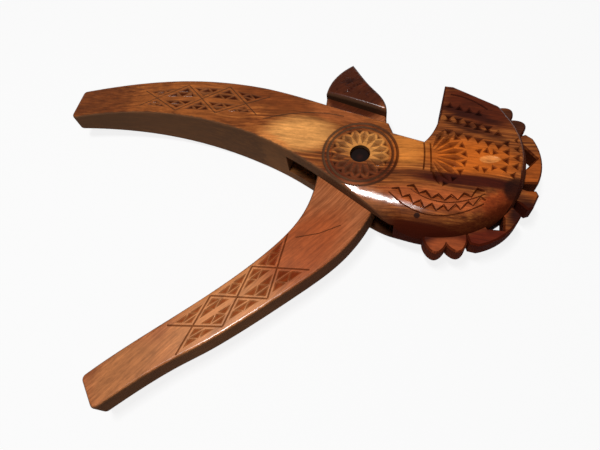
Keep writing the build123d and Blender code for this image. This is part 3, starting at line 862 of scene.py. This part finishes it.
# the wall and cut colours below darken the sides and the cuts, both partly as painted shade
colour, pores, matt = wood_colour(tree, 2.0, block_growth, block_bands, block_rings,
                                  wall=("#5e4532", 0.0, 22.0, "#3e1206"), cut_stain_and_shade=("#643420", 0.9, 0.7),
                                  mottle=(0.66, 1.34))
varnish(tree, shader, colour, pores, matt, bump=0.5, roughness=0.42, coat=0.9, coat_roughness=0.15)
print(block_material.name, len(tree.nodes), "nodes")

# %% The lever's wood
lever_bands = [
    ("#b27040", (*on_lever(142, 4), 12), (22, 12, 60), LEVER_TURN, 0.8, "frayed"),   # plain end
    # the next band is paler wood, made paler still as a painted sheen on the flat tops of the lattice
    ("#d0864e", (*on_lever(92, 12), 12), (44, 18, 60), LEVER_TURN, 0.8, "frayed"),   # under the lattice
    ("#a04a1e", (*on_lever(50, 14), 12), (30, 16, 60), LEVER_TURN, 0.85, "frayed"),  # root
    ("#481d0c", (-9, 44, 14), (19, 22, 60), 0, 0.97, "crisp"),                       # jaw
    ("#28100a", (-14, 47, 19), (7, 2.6, 9), 35, 0.8, "frayed"),                      # burnt patches on it
    ("#6a2f18", (-6, 45, 19), (5, 2.4, 9), 60, 0.7, "frayed"),
    ("#2c120a", (-1, 41, 19), (5, 2.0, 9), -30, 0.7, "frayed"),
]
lever_material, tree, shader = new_material("satin_fruitwood_lever")
# the same fruitwood from an evener board, with fewer coats: warmer, and its gloss is broad and soft
lever_growth = [(0.25, "#8e4a26"), (0.45, "#9f5931"), (0.6, "#a9623a"), (0.8, "#b46e44")]
# the wall and cut colours below darken the sides and the cuts, both partly as painted shade
colour, pores, matt = wood_colour(tree, LEVER_TURN, lever_growth, lever_bands, (),
                                  wall=("#4c3424", 0.0, 22.0, "#3c2010"), cut_stain_and_shade=("#b98a6a", 0.85, 0.0),
                                  mottle=(0.74, 1.26))
varnish(tree, shader, colour, pores, matt, bump=0.3, roughness=0.40, coat=0.7, coat_roughness=0.20)
print(lever_material.name, len(tree.nodes), "nodes")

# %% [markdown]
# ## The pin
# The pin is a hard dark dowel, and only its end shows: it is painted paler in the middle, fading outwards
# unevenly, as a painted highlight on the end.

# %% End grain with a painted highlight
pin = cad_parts["pivot_pin"]
pin_material, tree, shader = new_material("dark_dowel_end_grain")
place = add(tree, "ShaderNodeTexCoord")
plan = add(tree, "ShaderNodeMapping", {"Vector": place.outputs["Object"], "Location": (-0.6, 0.3, 0),
                                       "Scale": (1000, 1000, 0)})
unevenness = add(tree, "ShaderNodeTexNoise", {"Vector": plan.outputs[0], "Scale": 0.6, "Detail": 3.0})
uneven = add(tree, "ShaderNodeVectorMath", {0: unevenness.outputs["Color"], 1: (1.2, 1.2, 0),
                                            2: plan.outputs[0]}, operation="MULTIPLY_ADD")
radius = add(tree, "ShaderNodeVectorMath", {0: uneven.outputs[0]}, operation="LENGTH")
outwards = add(tree, "ShaderNodeMapRange", {"Value": radius.outputs["Value"], "From Max": 4.8})
# painted highlight: the middle of the pin's end is paler than its edge
painted_highlight = add(tree, "ShaderNodeValToRGB", {"Fac": outwards.outputs[0]})
painted_highlight.color_ramp.elements[0].color = linear("#2c0f08")
painted_highlight.color_ramp.elements[1].color = linear("#140603")
painted_highlight.color_ramp.elements[1].position = 0.45
tree.links.new(painted_highlight.outputs["Color"], shader.inputs["Base Color"])
shader.inputs["Roughness"].default_value = 0.55
shader.inputs["Specular IOR Level"].default_value = 0.1
shader.inputs["Coat Weight"].default_value = 0.2
shader.inputs["Coat Roughness"].default_value = 0.25
print(pin_material.name, len(tree.nodes), "nodes")

# %% [markdown]
# ## Putting it together
# Each carved piece stands for the part that it was cut from, and moves with it.

# %% Finishes and bodies
for piece, material, body, node, slot in ((block, block_material, "body", "body", "carved_wood"),
                                          (lever, lever_material, "lever", "lever", "lever_wood")):
    piece.data.materials.clear()
    piece.data.materials.append(material)
    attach(piece, body)
    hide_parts(node)
    print(piece.name, "rides on", body)
pin.data.materials.clear()
pin.data.materials.append(pin_material)

# %% [markdown]
# ## Table, light and camera
# The nutcracker lies on a white table. One soft box hangs nearly overhead. It draws the white line on the
# head's rounded near edge and on the lever's, and leaves the upright sides dark. No lamp stands in front
# of the nutcracker or behind it, because the flat varnished face and the sides of the chips would mirror
# it and look grey.

# %% Table
low, high = cad_bounds
bpy.ops.mesh.primitive_plane_add(size=6.0, location=(0, 0, low[2] - 0.02 * MM))
table = bpy.context.object
table.name = "table"
table_material = bpy.data.materials.new("white_table")
table_material.use_nodes = True
tree = table_material.node_tree
tree.nodes.clear()
# it glows nearly white to the eye and in the varnish, and lights the wood only as white paint does
seen = add(tree, "ShaderNodeLightPath")
seen_or_mirrored = add(tree, "ShaderNodeMath", {0: seen.outputs["Is Camera Ray"],
                                                1: seen.outputs["Is Glossy Ray"]}, operation="MAXIMUM")
through = add(tree, "ShaderNodeMath", {0: seen_or_mirrored.outputs[0],
                                       1: seen.outputs["Is Transmission Ray"]}, operation="MAXIMUM")
paint = add(tree, "ShaderNodeBsdfDiffuse", {"Color": linear("#e8e8e8")})
glow = add(tree, "ShaderNodeEmission", {"Color": (1, 1, 1, 1), "Strength": 1.0})
glowing = add(tree, "ShaderNodeMixShader", {0: 0.85, 1: paint.outputs[0], 2: glow.outputs[0]})
mixed = add(tree, "ShaderNodeMixShader", {0: through.outputs[0], 1: paint.outputs[0], 2: glowing.outputs[0]})
add(tree, "ShaderNodeOutputMaterial", {"Surface": mixed.outputs[0]})
table.data.materials.append(table_material)
print(table.name, len(tree.nodes), "nodes")

# %% Lights
world = bpy.data.worlds.new("studio")
bpy.context.scene.world = world
world.use_nodes = True
background = world.node_tree.nodes["Background"]
background.inputs["Color"].default_value = (1, 1, 1, 1)
background.inputs["Strength"].default_value = 0.10

middle = (Vector(low) + Vector(high)) / 2
light = bpy.data.lights.new("overhead_box", "AREA")
light.shape = "RECTANGLE"
light.size, light.size_y = 0.24, 0.10
light.energy = 7.0
lamp = bpy.data.objects.new("overhead_box", light)
lamp.location = middle + Vector((-0.12, -0.06, 1.0)).normalized() * 0.90
lamp.rotation_euler = (middle - lamp.location).to_track_quat("-Z", "Y").to_euler()
bpy.context.scene.collection.objects.link(lamp)
print(lamp.name, [round(value, 2) for value in lamp.location])

# %% Camera
camera_data = bpy.data.cameras.new("camera")
camera_data.sensor_width = 36.0
camera_data.lens = 30.0
camera_data.clip_start = 0.01
camera = bpy.data.objects.new("camera", camera_data)
# which way the camera's right, up and back point, and where it stands
right, up, back = (0.9638, 0.2403, -0.1155), (-0.1663, 0.8804, 0.4442), (0.2084, -0.4089, 0.8884)
stand = (0.02751, -0.13306, 0.226)
camera.matrix_world = Matrix.Translation(stand) @ Matrix((right, up, back)).transposed().to_4x4()
bpy.context.scene.collection.objects.link(camera)
bpy.context.scene.camera = camera
bpy.context.scene.view_settings.view_transform = "Standard"
print(camera.name, camera_data.lens, "mm")
